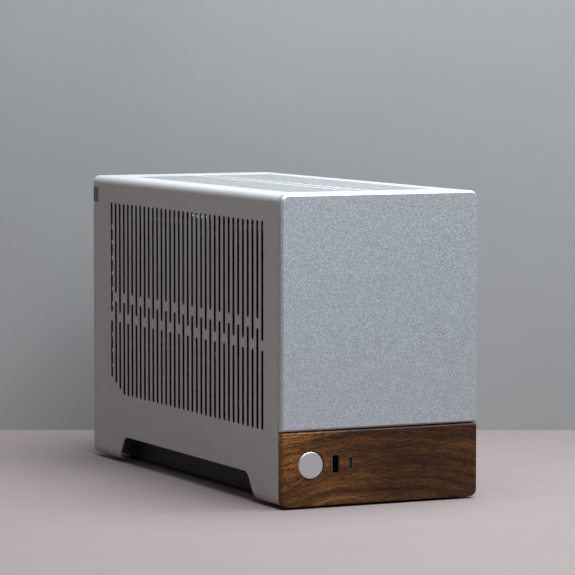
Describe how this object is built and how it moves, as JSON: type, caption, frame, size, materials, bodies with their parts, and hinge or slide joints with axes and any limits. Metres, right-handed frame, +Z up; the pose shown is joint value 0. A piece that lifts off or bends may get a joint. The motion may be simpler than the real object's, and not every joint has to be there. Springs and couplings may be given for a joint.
{
  "type": "desktop computer tower",
  "caption": "Compact small-form-factor desktop computer tower with slotted silver drop-down side doors, a slotted lift-off top, a front plate and a walnut lower fascia.",
  "frame": {"origin": "on the table, under the middle of the tower's bounding box", "axes": "+X to the tower's right side as seen from its front, +Y to its back, +Z up"},
  "size_m": [0.153, 0.343, 0.218],
  "materials": {
    "shell_paint": "fine satin silver-grey powder coat",
    "front_aluminium": "bead-blasted, clear anodised",
    "walnut": "oiled, satin",
    "button_aluminium": "satin anodised with a bright cut bevel",
    "black_paint": "matt black",
    "plated_steel": "zinc plated",
    "socket_metal": "nickel plated",
    "rubber": "matt",
    "tab_webbing": "woven nylon",
    "black_plastic": "moulded, fine texture",
    "circuit_board": "black solder mask",
    "module_finish": "black anodised",
    "fin_aluminium": "plain mill finish",
    "copper": "nickel-free copper, dull",
    "ribbon": "flat ribbon sleeve"
  },
  "bodies": {
    "chassis": {"board_heatsinks": "fin_aluminium", "board_sockets": "black_plastic", "button_guide": "black_plastic", "card_backplate": "black_paint", "card_board": "circuit_board", "card_bracket": "plated_steel", "card_heatsink": "fin_aluminium", "card_shroud": "black_plastic", "cooler_block": "fin_aluminium", "cooler_fan_frame": "black_plastic", "cooler_fins": "fin_aluminium", "cpu_socket": "fin_aluminium", "floor_pan": "black_paint", "foot_legs": "black_paint", "front_board": "circuit_board", "front_frame": "black_paint", "front_plate": "front_aluminium", "heat_pipes": "copper", "hinge_brackets": "black_paint", "hinge_pins": "plated_steel", "io_ports": "plated_steel", "io_shield": "plated_steel", "latch_cups": "black_plastic", "lid_clips": "black_plastic", "memory_modules": "module_finish", "motherboard": "circuit_board", "power_switch": "black_plastic", "psu_brackets": "black_paint", "psu_case": "black_paint", "psu_grille": "black_paint", "psu_inlet": "black_plastic", "rear_inlet": "black_plastic", "rear_panel": "black_paint", "riser_ribbon": "ribbon", "riser_sockets": "black_plastic", "rubber_feet": "rubber", "slot_cover": "black_paint", "spine": "black_paint", "standoffs": "plated_steel", "top_rails": "black_paint", "usb_a_port": "socket_metal", "usb_c_port": "socket_metal", "wood_front": "walnut"},
    "door_left": {"ball_studs_left": "plated_steel", "door_rivets_left": "shell_paint", "hinge_leaves_left": "black_paint", "pull_tab_left": "tab_webbing", "side_panel_left": "shell_paint"},
    "door_right": {"ball_studs_right": "plated_steel", "door_rivets_right": "shell_paint", "hinge_leaves_right": "black_paint", "pull_tab_right": "tab_webbing", "side_panel_right": "shell_paint"},
    "top_lid": {"top_panel": "shell_paint"},
    "button": {"power_button": "button_aluminium"},
    "cooler_fan": {"cooler_fan_rotor": "black_plastic"},
    "card_fan_a": {"card_fan_front": "black_plastic"},
    "card_fan_b": {"card_fan_rear": "black_plastic"},
    "psu_fan": {"psu_fan_rotor": "black_plastic"},
    "psu_switch": {"psu_rocker": "black_plastic"}
  },
  "joints": [
    {"name": "left_door_hinge", "type": "hinge", "parent": "chassis", "child": "door_left", "pos_m": [-0.071, 0, 0.0075], "axis": [0, -1, 0], "range_deg": [0, 90]},
    {"name": "right_door_hinge", "type": "hinge", "parent": "chassis", "child": "door_right", "pos_m": [0.071, 0, 0.0075], "axis": [0, 1, 0], "range_deg": [0, 90]},
    {"name": "top_lift", "type": "slide", "parent": "chassis", "child": "top_lid", "axis": [0, 0, 1], "range_m": [0, 0.06]},
    {"name": "power_button_press", "type": "slide", "parent": "chassis", "child": "button", "axis": [0, 1, 0], "range_m": [0, 0.0012], "stiffness_N_per_m": 600},
    {"name": "cooler_fan_spin", "type": "hinge", "parent": "chassis", "child": "cooler_fan", "pos_m": [-0.06, 0.1008, 0.14], "axis": [1, 0, 0], "continuous": true},
    {"name": "card_fan_a_spin", "type": "hinge", "parent": "chassis", "child": "card_fan_a", "pos_m": [0.04, -0.0027, 0.1295], "axis": [1, 0, 0], "continuous": true},
    {"name": "card_fan_b_spin", "type": "hinge", "parent": "chassis", "child": "card_fan_b", "pos_m": [0.04, 0.0913, 0.1295], "axis": [1, 0, 0], "continuous": true},
    {"name": "psu_fan_spin", "type": "hinge", "parent": "chassis", "child": "psu_fan", "pos_m": [-0.06, -0.09855, 0.14], "axis": [1, 0, 0], "continuous": true},
    {"name": "psu_switch_rock", "type": "hinge", "parent": "chassis", "child": "psu_switch", "pos_m": [-0.03515, -0.09905, 0.0922], "axis": [1, 0, 0], "range_deg": [-8, 8]}
  ]
}
